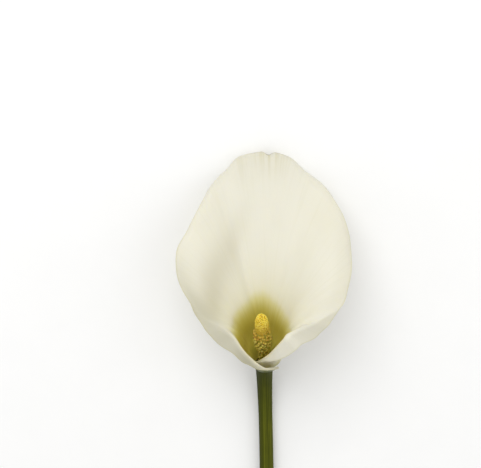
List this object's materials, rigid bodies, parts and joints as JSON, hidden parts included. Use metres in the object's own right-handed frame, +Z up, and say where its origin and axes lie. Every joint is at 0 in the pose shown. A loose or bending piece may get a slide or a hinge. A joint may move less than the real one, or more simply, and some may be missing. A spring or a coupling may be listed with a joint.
{
  "type": "calla lily flower",
  "caption": "Cut calla lily flower lying on its stem: one white wrapped spathe, open like a funnel, round a yellow spadix on a bent green neck.",
  "frame": {"origin": "on the table, under the middle of the flower's bounding box", "axes": "+Z up from the table; +Y along the stem from its cut end towards the tip of the spathe; +X to the right, seen from above with the bloom at the top"},
  "size_m": [0.1116, 0.3844, 0.0724],
  "materials": {
    "spathe": "thin waxy petal, cream white, fading to yellow green in the throat and at the foot",
    "stem": "smooth fleshy stalk, deep olive green with a soft sheen",
    "pistillate": "fleshy green and straw-coloured florets",
    "staminate": "mealy golden pollen"
  },
  "bodies": {
    "root": {"stem": "stem", "spathe": "spathe", "spadix_pistillate": "pistillate", "spadix_staminate": "staminate"}
  },
  "joints": []
}
